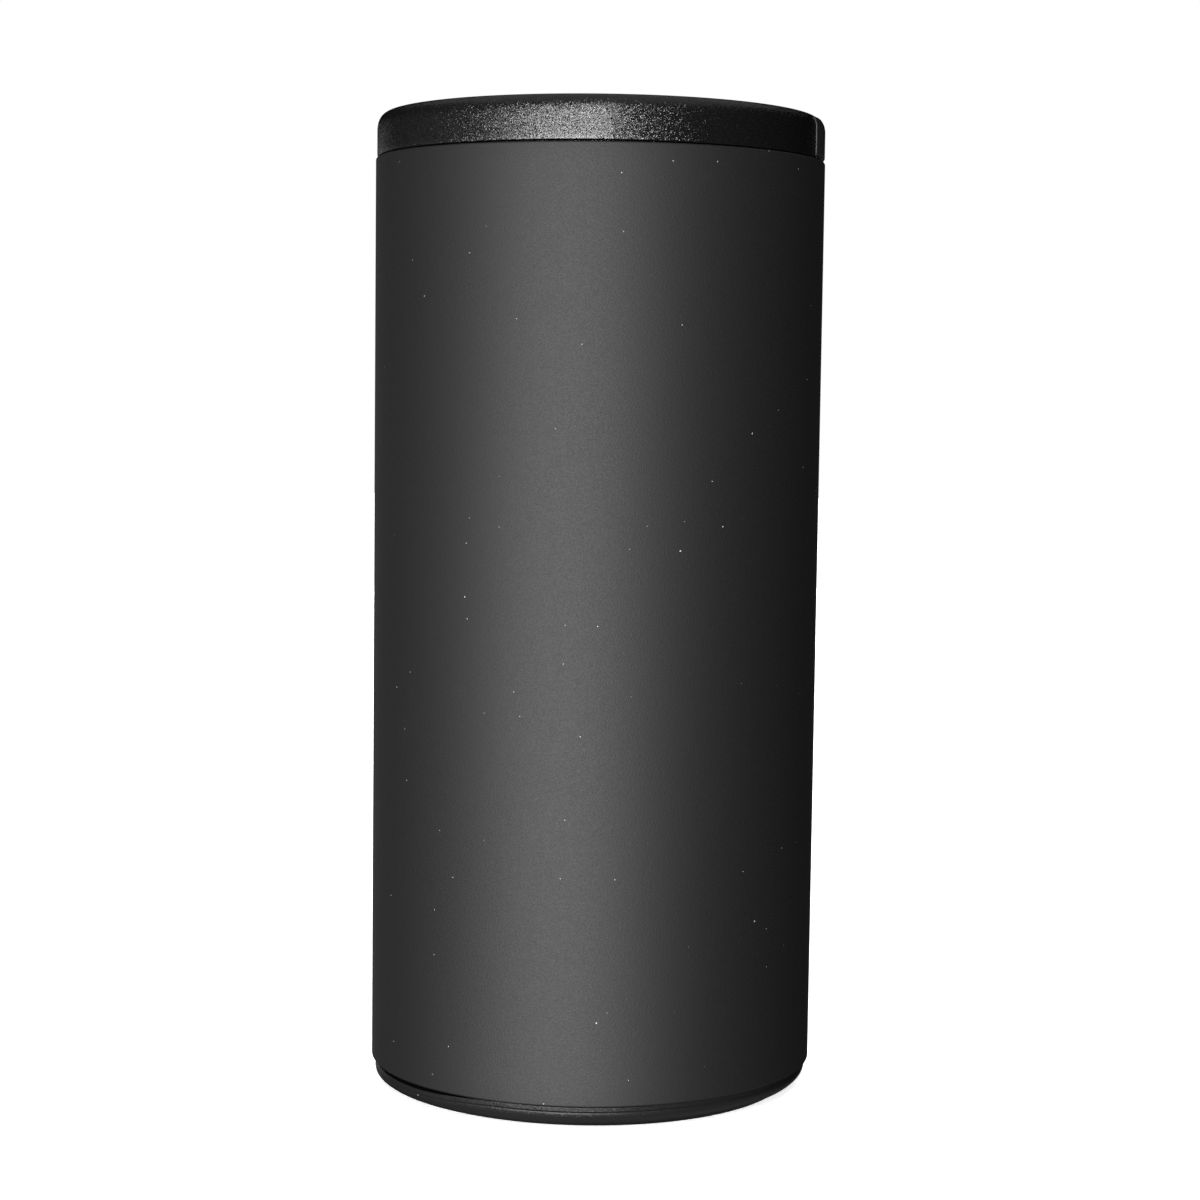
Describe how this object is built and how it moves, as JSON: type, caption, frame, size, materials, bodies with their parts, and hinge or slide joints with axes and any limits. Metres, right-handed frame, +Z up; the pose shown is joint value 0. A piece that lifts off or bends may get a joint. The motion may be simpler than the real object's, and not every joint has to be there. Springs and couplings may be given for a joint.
{
  "type": "rock tumbler barrel",
  "caption": "Tall round tumbler barrel: rubber-sleeved tube with a ribbed rubber liner, end cap, and a lift-out lid sealed by a plug that a sunk knob clamps.",
  "frame": {"origin": "centre of the base's foot ring, on the plane that the barrel stands on", "axes": "+Z up along the barrel's axis towards the lid; -Y is the front, and the right grip pad is towards +X"},
  "size_m": [0.102, 0.102, 0.2215],
  "materials": {
    "sleeve_rubber": "fine matte black rubber with a soft sheen",
    "liner_rubber": "matte black moulded rubber",
    "lid_plastic": "satin black, fine sparkling mould grain",
    "pad_plastic": "smooth satin black, fine ribs",
    "base_plastic": "semi-gloss black",
    "tube_plastic": "plain black, unpainted",
    "knob_plastic": "satin black moulded",
    "zinc_steel": "zinc plated, slightly dull",
    "brass": "turned brass"
  },
  "bodies": {
    "barrel": {"drive_sleeve": "sleeve_rubber", "shell_tube": "tube_plastic", "base_cap": "base_plastic", "liner": "liner_rubber"},
    "closure": {"lid": "lid_plastic", "grip_pad_right": "pad_plastic", "grip_pad_left": "pad_plastic", "seal_plug": "liner_rubber", "clamp_plate": "zinc_steel", "clamp_bolt": "zinc_steel", "head_washer": "liner_rubber", "lock_nut": "zinc_steel", "bolt_seal": "liner_rubber"},
    "washer": {"knob_washer": "zinc_steel"},
    "knob": {"knob": "knob_plastic", "knob_insert": "brass"}
  },
  "joints": [
    {"name": "lid_lift", "type": "slide", "parent": "barrel", "child": "closure", "axis": [0, 0, 1], "range_m": [0, 0.06]},
    {"name": "knob_rise", "type": "slide", "parent": "closure", "child": "washer", "axis": [0, 0, 1], "range_m": [0, 0.01]},
    {"name": "knob_turn", "type": "hinge", "parent": "washer", "child": "knob", "pos_m": [0, 0, 0.2106], "axis": [0, 0, 1], "range_deg": [0, 2880]}
  ],
  "couplings": [
    {"joint": "knob_rise", "follows": "knob_turn", "m_per_rad": 0.00019894}
  ]
}
